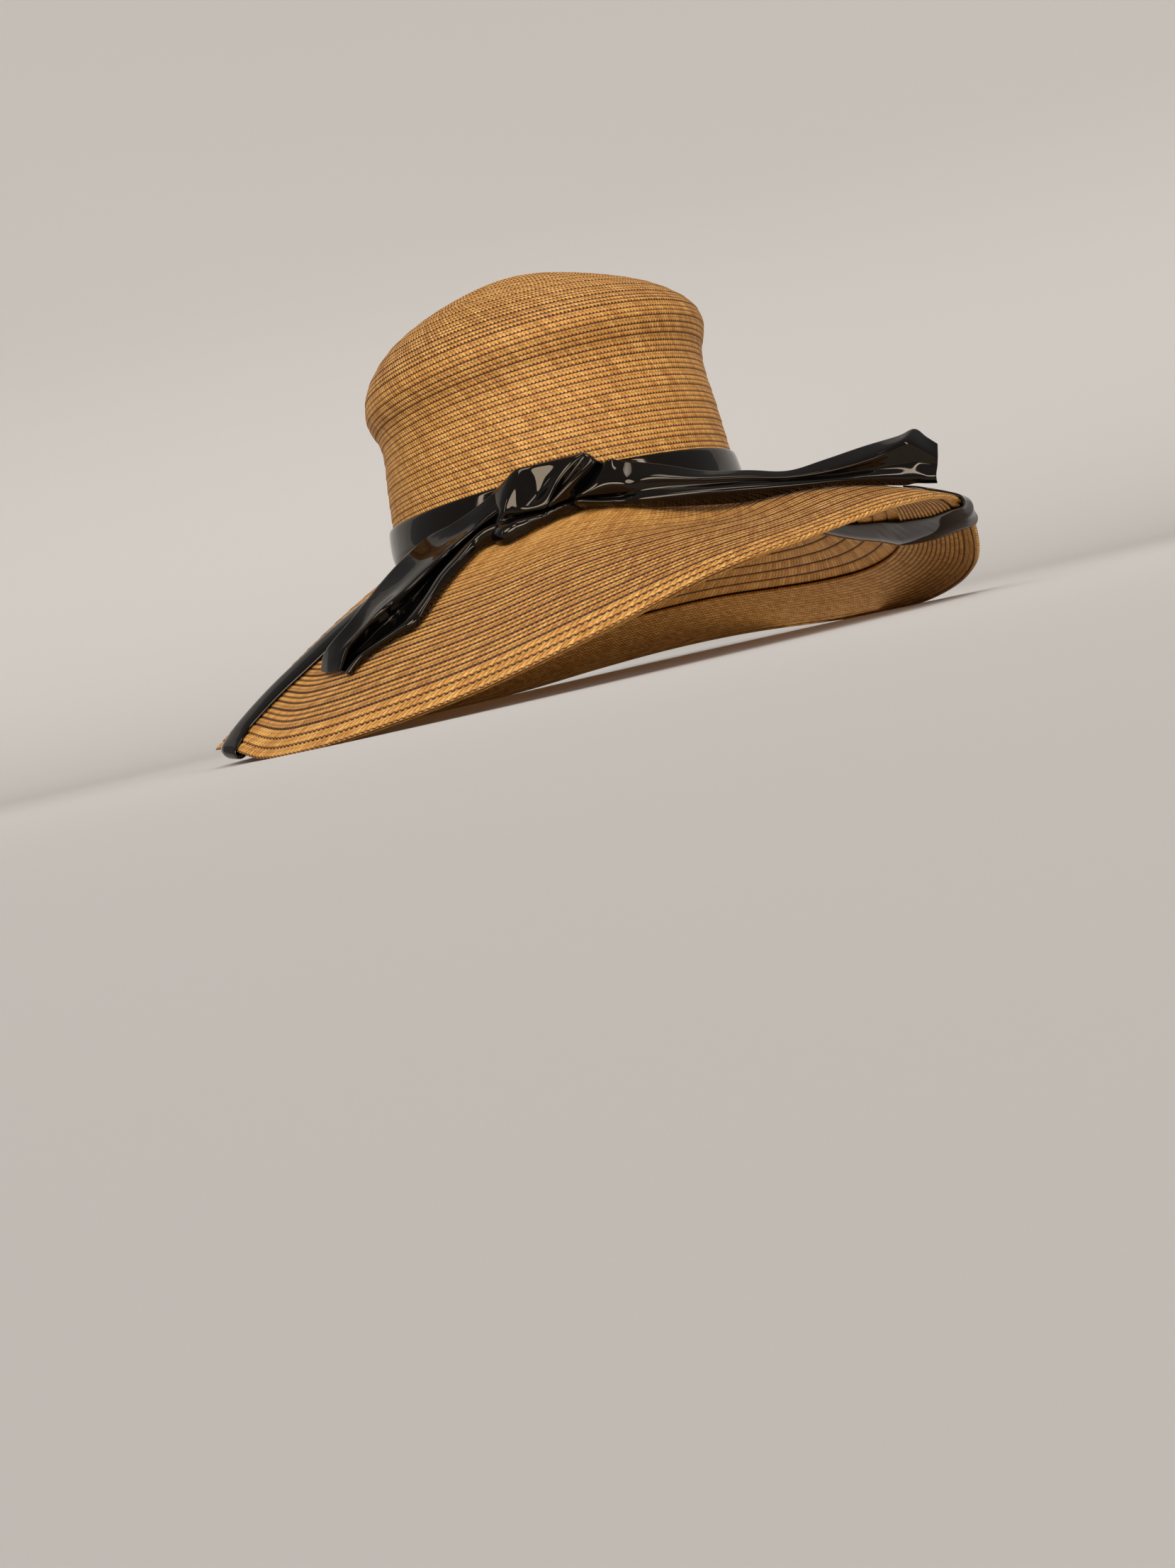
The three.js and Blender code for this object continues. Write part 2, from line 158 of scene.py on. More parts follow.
# Meshes: a flat grid from Blender, bent to the points of a piece, with a map that counts plaits and rows
def bendGrid(name, points, plaits=None, rows=None, skins=None):  # points[across, along] in millimetres
    bpy.ops.object.select_all(action="DESELECT")
    across, along = points.shape[0] - 1, points.shape[1] - 1
    bpy.ops.mesh.primitive_grid_add(x_subdivisions=along, y_subdivisions=across, size=1, calc_uvs=True)
    piece = bpy.context.object
    piece.name = piece.data.name = name
    mesh = piece.data
    mesh.vertices.foreach_set("co", ((points + originShift) * mm).reshape(-1))
    mesh.uv_layers[0].name = "braid"
    corners = np.empty(len(mesh.loops), int)
    mesh.loops.foreach_get("vertex_index", corners)
    step, column = np.divmod(corners, along + 1)
    places = np.stack([column / along, step / across], -1)
    faceStep = step.reshape(-1, 4).min(1)
    if plaits is not None:  # every face counts the plaits of its own row
        around = np.asarray(plaits)[faceStep.repeat(4)]
        places = np.stack([column / along * around, np.asarray(rows)[step]], -1)
    if skins is not None:
        mesh.polygons.foreach_set("material_index", np.asarray(skins)[faceStep])
    mesh.uv_layers[0].data.foreach_set("uv", places.reshape(-1))
    mesh.update()
    return piece


def closeSkin(piece):
    bpy.ops.object.select_all(action="DESELECT")
    bpy.context.view_layer.objects.active = piece
    piece.select_set(True)
    bpy.ops.object.mode_set(mode="EDIT")
    bpy.ops.mesh.select_all(action="SELECT")
    bpy.ops.mesh.remove_doubles(threshold=1e-6)
    bpy.ops.mesh.normals_make_consistent(inside=False)
    bpy.ops.object.mode_set(mode="OBJECT")
    bpy.ops.object.shade_smooth()


def applyModifier(piece, kind, **settings):
    bpy.ops.object.select_all(action="DESELECT")
    bpy.context.view_layer.objects.active = piece
    piece.select_set(True)
    modifier = piece.modifiers.new(kind.lower(), kind)
    for key, value in settings.items():
        setattr(modifier, key, value)
    bpy.ops.object.modifier_apply(modifier=modifier.name)


def finishPiece(piece, materials, slot, *nodes):
    for material in materials:
        piece.data.materials.append(material)
    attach(piece, "root")
    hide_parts(*nodes)
    print(piece.name, "made,", len(piece.data.polygons), "faces")


# Materials
def linear(hexColour):
    parts = [int(hexColour[i:i + 2], 16) / 255 for i in (1, 3, 5)]
    return tuple(p / 12.92 if p <= 0.04045 else ((p + 0.055) / 1.055) ** 2.4 for p in parts) + (1.0,)


def addNode(tree, kind, settings=None, links=None):
    node = tree.nodes.new(kind)
    for key, value in (settings or {}).items():
        if isinstance(key, int):
            node.inputs[key].default_value = value
        else:
            setattr(node, key, value)
    for key, source in (links or {}).items():
        tree.links.new(source, node.inputs[key])
    return node


# gap is the colour of the painted shade in the laps between plaits and rows
strawTones = dict(gap="#30130c", deep="#8c5a25", middle="#b77f39", pale="#d4a25b", roughness=0.6, gloss=0.25,
                  plaitDepth=0.22, patchSize=30, toneAndGlintSize=2.5,  # millimetres
                  slant=2.8, tooth=0.05, dash=0.88, lapShadeWidth=0.09, plainRows=0,  # in rows and plaits
                  lines=((0, 1), (0.29, 0.85), (0.59, 1), (0.82, 0.45)),  # place within a row, darkness of the painted lap shade
                  strandShadeShare=0.22, ownShare=0.28, patchShare=0.1, toneAndGlintShare=0.46)  # of a strand's tone; the rounding share is painted shade between strands, the small noise share partly painted glints


# Plaited wheat straw, sewn in rows: matt golden strands, with painted shade as fine dark lines in the laps
# between plaits and rows, painted shade between strands and small painted glints
def makeStraw(name, tones):
    material = bpy.data.materials.new(name)
    material.use_nodes = True
    tree = material.node_tree
    shader = tree.nodes["Principled BSDF"]
    braid = addNode(tree, "ShaderNodeUVMap", {"uv_map": "braid"})
    plait, row = addNode(tree, "ShaderNodeSeparateXYZ", links={0: braid.outputs[0]}).outputs[:2]
    place = addNode(tree, "ShaderNodeTexCoord").outputs["Object"]
    inRow = addNode(tree, "ShaderNodeMath", {"operation": "FRACT"}, {0: row}).outputs[0]
    strand = addNode(tree, "ShaderNodeMath", {"operation": "MULTIPLY_ADD", 1: tones["slant"]},
                     {0: inRow, 2: plait}).outputs[0]
    middle = addNode(tree, "ShaderNodeMath", {"operation": "PINGPONG", 1: 0.5}, {0: strand}).outputs[0]
    rounded = addNode(tree, "ShaderNodeMapRange", {"interpolation_type": "SMOOTHERSTEP", 1: 0.0, 2: 0.42},
                      {0: middle}).outputs[0]
    toothed = addNode(tree, "ShaderNodeMath", {"operation": "MULTIPLY_ADD", 1: tones["tooth"]},
                      {0: rounded, 2: row}).outputs[0]
    toothed = addNode(tree, "ShaderNodeMath", {"operation": "FRACT"}, {0: toothed}).outputs[0]
    # painted shade: dark lines in the laps, where shade falls between plaits and rows
    lapShadeRamp = addNode(tree, "ShaderNodeValToRGB", links={0: toothed})
    drawLapShade(lapShadeRamp.color_ramp.elements, tones["lines"], tones["lapShadeWidth"])
    patch = addNode(tree, "ShaderNodeTexNoise", {2: 1 / (tones["patchSize"] * mm), 3: 3.0},
                    {0: place}).outputs[0]
    # small noise: partly random tone, partly painted glints on the strands
    toneAndGlintFleck = addNode(tree, "ShaderNodeTexNoise", {2: 1 / (tones["toneAndGlintSize"] * mm), 3: 2.0},
                    {0: place}).outputs[0]
    dashes = addNode(tree, "ShaderNodeMapRange", {3: 1.15, 4: tones["dash"]}, {0: rounded}).outputs[0]
    line = addNode(tree, "ShaderNodeMath", {"operation": "MULTIPLY", "use_clamp": True},
                   {0: lapShadeRamp.outputs[0], 1: dashes}).outputs[0]
    if tones["plainRows"]:  # the painted lap shade is weaker on the rows next to the crown, which lie so close that their laps hardly show
        shown = addNode(tree, "ShaderNodeMapRange", {1: 0.0, 2: tones["plainRows"], 3: 0.2, 4: 1.0},
                        {0: row}).outputs[0]
        line = addNode(tree, "ShaderNodeMath", {"operation": "MULTIPLY"}, {0: line, 1: shown}).outputs[0]
    cell = addNode(tree, "ShaderNodeCombineXYZ", links={0: strand, 1: row}).outputs[0]
    cell = addNode(tree, "ShaderNodeVectorMath", {"operation": "FLOOR"}, {0: cell}).outputs[0]
    own = addNode(tree, "ShaderNodeTexWhiteNoise", {"noise_dimensions": "2D"}, {0: cell}).outputs[0]
    # painted shade: the strand's rounding makes its crown paler and the dips between strands darker
    tone = addNode(tree, "ShaderNodeMath", {"operation": "MULTIPLY", 1: tones["strandShadeShare"]},
                   {0: rounded}).outputs[0]
    for share, source in (("ownShare", own), ("patchShare", patch), ("toneAndGlintShare", toneAndGlintFleck)):
        tone = addNode(tree, "ShaderNodeMath", {"operation": "MULTIPLY_ADD", 1: tones[share]},
                       {0: source, 2: tone}).outputs[0]
    ramp = addNode(tree, "ShaderNodeValToRGB", links={0: tone})
    stops = ramp.color_ramp.elements
    stops[0].position, stops[1].position = 0.25, 0.9
    stops[0].color, stops[1].color = linear(tones["deep"]), linear(tones["pale"])
    stops.new(0.55).color = linear(tones["middle"])
    # painted lap shade: the gap colour laid over the strands where the lap lines are dark
    colour = addNode(tree, "ShaderNodeMix", {"data_type": "RGBA", 7: linear(tones["gap"])},
                     {0: line, 6: ramp.outputs[0]})
    tree.links.new(colour.outputs[2], shader.inputs["Base Color"])
    relief = addNode(tree, "ShaderNodeMath", {"operation": "SUBTRACT"}, {0: rounded, 1: line}).outputs[0]
    bump = addNode(tree, "ShaderNodeBump", {0: 0.8, 1: tones["plaitDepth"] * mm}, {"Height": relief})
    tree.links.new(bump.outputs[0], shader.inputs["Normal"])
    shader.inputs["Roughness"].default_value = tones["roughness"]
    shader.inputs["Specular IOR Level"].default_value = tones["gloss"]
    return material


def drawLapShade(stops, lines, width):  # soft dark lines of painted lap shade on a ramp over one row, which starts and ends in one
    core, edge = width * 0.3, width * 0.7
    stops[0].position, stops[1].position = 0, 1
    stops[0].color = stops[1].color = (1, 1, 1, 1)
    for at, dark in lines:
        for aside, share in ((-edge, 0), (-core, 1), (core, 1), (edge, 0)):
            if 0 < at + aside < 1:
                stops.new(at + aside).color = (dark * share, dark * share, dark * share, 1)
    stops.new(1 - core).color = (1, 1, 1, 1)
    stops.new(1 - edge).color = (0, 0, 0, 1)


vinylTones = dict(colour="#050404", shine="#ffe6c8", roughness=0.06, gloss=0.33,
                  wrinkle=9.0, wrinkleDepth=0.2)  # width and depth of the waves in millimetres


# Black patent vinyl, calendered: an almost mirror-like skin with soft waves
def makeVinyl(name, tones):
    material = bpy.data.materials.new(name)
    material.use_nodes = True
    tree = material.node_tree
    shader = tree.nodes["Principled BSDF"]
    place = addNode(tree, "ShaderNodeTexCoord").outputs["Object"]
    waves = addNode(tree, "ShaderNodeTexNoise", {2: 1 / (tones["wrinkle"] * mm), 3: 1.5, 4: 0.4},
                    {0: place}).outputs[0]
    bump = addNode(tree, "ShaderNodeBump", {0: 0.6, 1: tones["wrinkleDepth"] * mm}, {"Height": waves})
    tree.links.new(bump.outputs[0], shader.inputs["Normal"])
    shader.inputs["Base Color"].default_value = linear(tones["colour"])
    shader.inputs["Roughness"].default_value = tones["roughness"]
    shader.inputs["Specular IOR Level"].default_value = tones["gloss"]
    shader.inputs["Specular Tint"].default_value = linear(tones["shine"])
    return material


# each straw below sets its own painted lap shade lines: where they lie, how dark and how wide
strawBraid = makeStraw("plaitedStraw", strawTones)
strawDome = makeStraw("plaitedStrawDome", dict(strawTones, lapShadeWidth=0.14))
strawBrimTop = makeStraw("plaitedStrawBrim", dict(strawTones, plainRows=7, lapShadeWidth=0.115))
strawUnder = makeStraw("plaitedStrawUnder", dict(strawTones, lines=((0, 1),), slant=3.5, lapShadeWidth=0.08))
strawRim = makeStraw("plaitedStrawRim", dict(strawTones, lines=((0, 0.8), (0.5, 0.3)), slant=1.3,
                                             lapShadeWidth=0.13, plaitDepth=0.35, tooth=0.1))
strawFacing = makeStraw("plaitedStrawFacing", dict(strawTones, lines=((0, 0.75),), slant=1, lapShadeWidth=0.25,
                                                   plaitDepth=0.2, tooth=0.12))
patentVinyl = makeVinyl("blackPatentVinyl", vinylTones)
print("materials made")


# Rows of braid: how one row stands proud between two laps
def braidRows(count, section):  # section rows: place within the row, height in millimetres
    table = [((row + at) / count, high, row + at) for row in range(count) for at, high in section]
    return np.array(table + [(1.0, section[0][1], count)])


def plaitsPerFace(points, rowCount, plaitLength):  # a whole number of plaits round each row
    ring = np.linalg.norm(np.diff(points, axis=1), axis=-1).sum(1)
    around = (ring[1:] + ring[:-1]) / 2 / plaitLength
    rowNumber = np.floor((rowCount[1:] + rowCount[:-1]) / 2).astype(int)
    starts = np.concatenate([[0], np.nonzero(np.diff(rowNumber))[0] + 1, [len(rowNumber)]])
    for start, end in zip(starts[:-1], starts[1:]):
        around[start:end] = np.round(around[start:end].mean())
    return around


# A section gives place within a strip and height in millimetres: two broad plaits, a slim one and the lip
crownBraid = dict(rowPitch=7.7, plaitLength=1.85, columns=200, domeFrom=11, profileReads=800,
                  section=((0, -.3), (.05, .16), (.13, .22), (.24, .18), (.3, -.06), (.36, .14), (.5, .1),
                           (.6, -.18), (.66, .06), (.76, .02), (.82, -.16), (.88, -.04), (.96, -.08)),
                  insideSection=((0, .2), (.3, -.15), (.7, -.15)))


def crownPoint(angle, place, proud, nudge=0.004):
    row, lower, upper = (readRows(crownRows, np.clip(place + d, 0, 1)) for d in (0, -nudge, nudge))
    slope = unit(np.stack([upper[..., 1] - lower[..., 1], upper[..., 0] - lower[..., 0]], -1))
    halfWidth = np.where(place >= 1, 0, row[..., 1] + proud * slope[..., 1])
    height = row[..., 0] - proud * slope[..., 0]
    x = halfWidth * np.cos(angle)
    y = halfWidth * np.sin(angle) * hatForm["headHalfDepth"] / hatForm["headHalfWidth"]
    z = hatForm["headLine"] + hatForm["crownGap"] + height + row[..., 2] * x / hatForm["headHalfWidth"]
    return np.stack([x, y, z], -1)


def makeCrown(v):
    fine = np.linspace(0, 1, v["profileReads"])
    profile = readRows(crownRows, fine)
    lengths = np.concatenate([[0], np.cumsum(np.hypot(np.diff(profile[:, 0]), np.diff(profile[:, 1])))])
    rows = round(lengths[-1] / v["rowPitch"])
    outside = braidRows(rows, v["section"])
    inside = braidRows(rows, v["insideSection"])[::-1]
    placeOf = lambda table: np.interp(table[:, 0] * lengths[-1], lengths, fine)
    places = np.concatenate([placeOf(inside), placeOf(outside)])
    proud = np.concatenate([inside[:, 1] - hatForm["wall"], outside[:, 1]])
    rowCount = np.concatenate([inside[:, 2], outside[:, 2]])
    angles = np.arange(v["columns"] + 1) / v["columns"] * fullTurn
    points = crownPoint(angles[None, :], places[:, None], proud[:, None])
    points[[0, -1], :, :2] = 0  # both skins close at the top
    plaits = plaitsPerFace(points, rowCount, v["plaitLength"])
    dome = np.where(rowCount[1:] > v["domeFrom"], 2, 0)  # skins: 0 side, 1 inside, 2 dome
    skins = np.where(np.arange(len(plaits)) < len(inside), 1, dome)
    crown = bendGrid("strawCrown", points, plaits, rowCount, skins)
    closeSkin(crown)
    finishPiece(crown, (strawBraid, strawUnder, strawDome), "straw_braid", "crown")


brimBraid = dict(topRows=12, rimRows=3, rimStart=0.89, underRows=11, edgeRows=3, columns=288,
                 plaitLengths=(2.1, 2.4, 2.9),  # plaits on top, below and along the rim
                 topSection=((0, -.3), (.05, -.05), (.13, .06), (.24, .04), (.3, -.12), (.36, .1), (.5, .12),
                             (.6, -.16), (.66, .12), (.76, .16), (.82, 0), (.88, .18), (.96, .2)),
                 rimSection=((0, -0.5), (0.1, 0), (0.3, 0.35), (0.5, 0.3), (0.75, 0.45), (0.92, 0.2)),
                 underSection=((0, -0.6), (0.1, 0.05), (0.3, 0.25), (0.7, 0.3), (0.92, 0.1)),
                 edgeSection=((0, -0.2), (0.3, 0.1), (0.7, 0.1)), edgeRound=0.35, edgeStep=0.4,
                 levelFrom=0.3, levelOver=0.25)  # how steep the rim is where its foot is cut level


def rimFoot(angle, v):  # cut level where the rim is steep, so that it sits flat on the floor
    edge, normal = brimTop(angle, 1.0), brimNormal(angle, 1.0)
    steep = np.hypot(normal[..., 0], normal[..., 1])
    level = edge.copy()
    level[..., :2] -= normal[..., :2] / steep[..., None] ** 2 * hatForm["wall"]
    square = edge - normal * hatForm["wall"]
    mix = np.clip((steep - v["levelFrom"]) / v["levelOver"], 0, 1)
    mix = (mix * mix * (3 - 2 * mix))[..., None]
    return square * (1 - mix) + level * mix


def makeBrim(v):
    angles = np.arange(v["columns"] + 1) / v["columns"] * fullTurn
    wall = hatForm["wall"]
    layers, rowCount, skins = [], [], []

    def addLayer(points, row, skin):  # skins: 0 top, 1 below, 2 rim
        layers.append(points)
        rowCount.append(row)
        skins.append(skin)

    for share, proud, row in braidRows(v["topRows"], v["topSection"])[:-1]:
        addLayer(overBrim(angles, share * v["rimStart"], proud if share else 0), row, 0)
    for share, proud, row in braidRows(v["rimRows"], v["rimSection"]):
        place = v["rimStart"] + share * (1 - v["rimStart"])
        addLayer(overBrim(angles, place, proud if share < 1 else 0), v["topRows"] + row, 2)
    foot = rimFoot(angles, v)
    edge = (layers[-1] + foot) / 2 + unit(layers[-1] - layers[-4]) * v["edgeRound"]
    addLayer(edge, rowCount[-1] + v["edgeStep"], 2)  # the rounded edge
    addLayer(foot, rowCount[-1] + v["edgeStep"], 1)
    start = math.ceil(rowCount[-1])
    for share, proud, row in braidRows(v["edgeRows"], v["edgeSection"])[1:]:
        addLayer(overBrim(angles, 1 - share * (1 - hatForm["facingEnd"]), -wall - proud), start + row, 1)
    hidden = (hatForm["facingStart"] + hatForm["facingEnd"]) / 2  # plain behind the facing
    addLayer(overBrim(angles, hidden, -wall), math.ceil(rowCount[-1]) + 0.5, 1)
    start = math.ceil(rowCount[-1])
    for share, proud, row in braidRows(v["underRows"], v["underSection"]):
        addLayer(overBrim(angles, hatForm["facingStart"] * (1 - share), -wall - proud), start + row, 1)
    addLayer(layers[0], rowCount[-1] + 0.5, 1)
    points, rowCount, skins = np.array(layers), np.array(rowCount), np.array(skins)[:-1]
    points[..., 2] = np.maximum(points[..., 2], 0)  # what dips lower lies flat on the floor
    plaits = plaitsPerFace(points, rowCount, np.array(v["plaitLengths"])[skins])
    brim = bendGrid("strawBrim", points, plaits, rowCount, skins)
    closeSkin(brim)
    finishPiece(brim, (strawBrimTop, strawUnder, strawRim), "straw_braid", "brim")


facingBraid = dict(rows=14, plaitLength=1.9, columns=288, gap=0.7, wall=1.7, backShares=(0.86, 0.78),
                   taperFrom=0.85, gapTaper=0.6, wallTaper=0.8,  # it thins towards the rim
                   section=((0, -0.22), (0.25, 0.1), (0.5, 0.16), (0.8, 0.08)))


def makeFacing(v):
    angles = np.arange(v["columns"] + 1) / v["columns"] * fullTurn
    start, end = hatForm["facingStart"], hatForm["facingEnd"]
    table = braidRows(v["rows"], v["section"])
    shares = start + table[:, 0] * (end - start)
    thin = np.clip((shares - v["taperFrom"]) / (end - v["taperFrom"]), 0, 1)
    gaps, walls = v["gap"] * (1 - v["gapTaper"] * thin), v["wall"] * (1 - v["wallTaper"] * thin)
    depths = hatForm["wall"] + gaps + walls + table[:, 1]
    layers = [overBrim(angles, share, -depth) for share, depth in zip(shares, depths)]
    rowCount = list(table[:, 2])
    for share in (end, *v["backShares"], start):
        gap = v["gap"] * (1 - v["gapTaper"] * (share == end))
        layers.append(overBrim(angles, share, -hatForm["wall"] - gap))
        rowCount.append(rowCount[-1] + 0.5)
    layers.append(layers[0])
    rowCount.append(rowCount[-1] + 0.5)
    points, rowCount = np.array(layers), np.array(rowCount)
    facing = bendGrid("strawFacing", points, plaitsPerFace(points, rowCount, v["plaitLength"]), rowCount)
    closeSkin(facing)
    finishPiece(facing, (strawFacing,), "straw_facing", "brim_facing")


makeCrown(crownBraid)
makeBrim(brimBraid)
makeFacing(facingBraid)


# Black patent pieces: sheets lofted through lines that run along them
def loftLines(lines, along, across):  # lines[line, station] to a fine grid of points
    lines = np.asarray(lines, float)
    fineAlong = np.stack([readRows(line, np.linspace(0, 1, along + 1)) for line in lines], 0)
    return np.stack([readRows(fineAlong[:, i], np.linspace(0, 1, across + 1)) for i in range(along + 1)], 1)


def makeSheet(name, points, thickness):
    piece = bendGrid(name, points)
    applyModifier(piece, "SOLIDIFY", thickness=thickness * mm, offset=0, use_even_offset=False)
    applyModifier(piece, "SUBSURF", levels=1, render_levels=1)
    closeSkin(piece)
    return piece


bandForm = dict(columns=180, waves=5, waveDepth=0.35, waveTurn=0.9, waveRise=0.6, waveOut=0.5,
                section=((0.2, 0.1), (0.4, 2.4), (4, 3), (9, 2.7), (14, 2.1), (17, 1.5), (17.8, 0.5)))


def makeBand(v):  # its section gives height and distance from the crown, closed behind
    angles = np.arange(v["columns"] + 1) / v["columns"] * fullTurn
    layers = []
    last = len(v["section"]) - 1
    for number, (height, out) in enumerate(v["section"]):
        wave = v["waveDepth"] * np.sin(angles * v["waves"] + number * v["waveTurn"]) * (0 < number < last)
        layers.append(besideCrown(angles, height + wave * v["waveRise"], out + wave * v["waveOut"]))
    layers.append(layers[0])
    band = bendGrid("patentBand", np.array(layers))
    closeSkin(band)
    applyModifier(band, "SUBSURF", levels=1, render_levels=1)
    bpy.ops.object.shade_smooth()
    finishPiece(band, (patentVinyl,), "patent_vinyl", "crown_band")
    return band


band = makeBand(bandForm)

tailLeftCage = [  # from inside the knot to the end, each row from its outer edge to its foot on the brim
    ((-15, -99.5, 93.5), (-19, -101, 87), (-18.5, -102, 82.5),
     (-20.5, -101, 80), (-22, -103, 76.5), (-21.5, -104, 71.5)),
    ((-27.5, -100, 90.5), (-27, -103.5, 86), (-25, -107, 82),
     (-28, -101, 79), (-29.5, -108.5, 75.5), (-31.5, -106.5, 69.5)),
    ((-38.5, -96.5, 86), (-36.5, -101.5, 82.5), (-33, -105.5, 79.5),
     (-35, -100, 77), (-36, -108.5, 74.5), (-35.5, -106.5, 68.5)),
    ((-50.5, -89, 82.5), (-46, -97, 77.5), (-42, -103.5, 75.5),
     (-43, -98, 74), (-42, -108.5, 71.5), (-40, -107, 67)),
    ((-63, -83, 80), (-58.5, -95, 73.5), (-53, -105, 70),
     (-53, -100, 68.5), (-49, -113.5, 66), (-47, -113.5, 62)),
    ((-74, -97.5, 72), (-69, -107, 66), (-64, -115, 62.5),
     (-63.5, -110, 59.5), (-57, -121.5, 59.5), (-55, -121, 55)),
    ((-84, -105.5, 64), (-78.5, -115.5, 58.5), (-73.5, -123.5, 56),
     (-72, -118.5, 52), (-64.5, -130.5, 51), (-63, -130, 47.5)),
    ((-94, -116, 54.5), (-89, -124.5, 50.5), (-82, -131.5, 51),
     (-80, -126.5, 46.5), (-72.5, -137.5, 43), (-70.5, -136.5, 40)),
    ((-100.5, -121, 48.5), (-96, -127.5, 44), (-90, -132.5, 46),
     (-88.5, -127, 42), (-80, -136.5, 40), (-79, -135, 37.5)),
    ((-108, -119.5, 43.5), (-104, -125.5, 39.5), (-97, -130, 41.5),
     (-96.5, -124.5, 37.5), (-89, -133.5, 37), (-88, -132, 34.5)),
    ((-115, -114, 38.5), (-111, -121.5, 35), (-103, -127.5, 37),
     (-102.5, -122, 34.5), (-97.5, -132, 33.5), (-96.5, -130.5, 31)),
    ((-118.5, -112, 31.5), (-113.5, -120.5, 29.5), (-108, -127.5, 29.5),
     (-107.5, -125, 29), (-104.5, -133, 27.5), (-103.5, -132, 26.5))]
knotCage = [  # pleats from left to right, each from its foot on the brim to its top, both ends tucked in
    ((-34, -104, 69.5), (-36, -103, 72.5), (-35.5, -98, 76.5),
     (-32, -99, 80), (-31, -98.5, 85), (-30, -97, 90)),
    ((-28.5, -113.5, 66.5), (-29.5, -114.5, 71.5), (-29.5, -108, 76.5),
     (-26.5, -109.5, 81), (-26, -107, 86), (-23.5, -102, 93.5)),
    ((-21, -113.5, 68), (-23, -115, 73.5), (-23, -108.5, 77),
     (-21.5, -111, 79.5), (-19, -109.5, 87.5), (-17, -104.5, 97)),
    ((-15, -112, 70), (-17.5, -114, 74), (-17, -108.5, 77.5),
     (-15.5, -111.5, 79), (-10, -106.5, 85.5), (-9, -104, 97)),
    ((-10, -111, 71), (-11.5, -113.5, 74.5), (-10.5, -108.5, 77.5),
     (-8, -112.5, 78.5), (-1, -109.5, 88), (9.5, -106, 97)),
    ((-6, -109, 72), (-8.5, -112, 75), (-8, -108, 78),
     (-7, -110.5, 79), (2.5, -107, 87), (14, -105.5, 96.5)),
    ((-2, -107.5, 73), (-4.5, -111.5, 76), (-5.5, -108.5, 78),
     (-5.5, -113, 78.5), (5.5, -112, 86), (17, -107, 93)),
    ((3, -105.5, 73.5), (.5, -110, 77), (0, -107, 79),
     (2, -110, 80), (11, -105.5, 84.5), (19.5, -103, 92.5)),
    ((9, -101, 74.5), (7.5, -103, 77), (7, -102.5, 79),
     (10, -102.5, 80.5), (16, -101.5, 84.5), (22, -99.5, 90))]
tailRightCage = [  # from inside the knot to the end, each row from its lower edge to its upper edge
    ((2, -101.5, 75), (1, -102.5, 77), (1, -102, 79),
     (3, -102, 80), (11, -101, 84.5), (18, -100, 90)),
    ((8.5, -102.5, 74.5), (6.5, -109.5, 77), (6, -108, 79),
     (8.5, -110, 80), (15.5, -109, 84), (23, -105, 92.5)),
    ((22, -104, 72.5), (22, -107.5, 74), (22.5, -104.5, 76),
     (24, -106.5, 78.5), (28.5, -107, 82), (30, -101.5, 90.5)),
    ((34, -107, 69), (34.5, -111.5, 71.5), (35.5, -109, 75.5),
     (37.5, -109.5, 78), (39.5, -110, 80.5), (44, -105, 85.5)),
    ((54, -111, 64.5), (55, -115, 69), (56, -111.5, 72.5),
     (57, -111.5, 74), (58.5, -111.5, 75.5), (62.5, -106.5, 78)),
    ((76, -111.5, 61), (76.5, -115.5, 66), (78, -111.5, 69),
     (78.3, -111.5, 70.3), (78.5, -111.5, 71.5), (80.5, -107.5, 74)),
    ((94, -111, 60.8), (94.5, -114, 63.5), (95, -110.5, 66),
     (95.2, -110.7, 66.8), (95.5, -111, 67.5), (96.5, -107.5, 70)),
    ((112.5, -107.5, 59.9), (113, -110, 61.5), (114, -107, 64),
     (113.8, -107.8, 65.3), (113.5, -108.5, 66.5), (113, -103, 71.5)),
    ((132, -102, 56.5), (132, -104, 59.5), (133.5, -101.5, 63),
     (133, -102.8, 65.5), (132.5, -104, 68), (133, -96.5, 74)),
    ((146, -97, 53.7), (145.7, -99.5, 57), (147, -97.3, 62.3),
     (146, -99, 66.5), (145, -100.5, 70.5), (149.5, -92, 75.3)),
    ((152, -95, 53.6), (151.5, -97.5, 56), (153, -95.5, 62),
     (151.5, -97.3, 66.8), (152, -98, 71.5), (157.5, -89.5, 77)),
    ((157, -93.6, 52.6), (156.5, -96, 54.8), (158.3, -93.3, 60.2),
     (158, -94, 64), (158.5, -94, 67.5), (162, -88.5, 72.6)),
    ((162, -92, 51.6), (161.5, -94, 54.5), (163.5, -91, 58.5),
     (164.3, -90.5, 61), (165, -90, 63.5), (166.5, -87.5, 68.5))]
strapLeftRows = [  # angle, way in from the rim (below the brim when negative), fullness
    (221.4, 130.9, .03), (221, 111, .6), (217.8, 91, 1), (214.5, 73, 1), (212.5, 55, 1), (210.3, 36, 1),
    (209.2, 18, .9), (209.6, 8, .7), (210.3, 2, .5), (210.7, -3, .4), (210.6, -8, .5), (209.2, -18, .8),
    (205, -36, .8), (200, -54, .8), (192, -88, .8), (184, -116, .5)]
strapRightRows = [
    (329, 20, .1), (332.5, 11, .3), (335.8, 4, .4), (338, -1, .4), (340.4, -6, .5), (344.5, -16, .8),
    (350, -31, 1), (356, -47, 1), (364, -72, .8), (369, -100, .5)]
underDepths = ((0.62, 2.5), (0.7, 4.6), (0.85, 4.5), (0.945, 3), (1, 2.2))  # share, depth of brim and facing
knotTurn = dict(inward=4, down=2.5)


def knotPoints():  # each pleat also turns back over its top to the band
    cage = np.array(knotCage, float)
    inward = unit(cage[:, -1:] * (1, 1, 0))
    return np.concatenate([cage, cage[:, -1:] - inward * knotTurn["inward"] - (0, 0, knotTurn["down"])], 1)


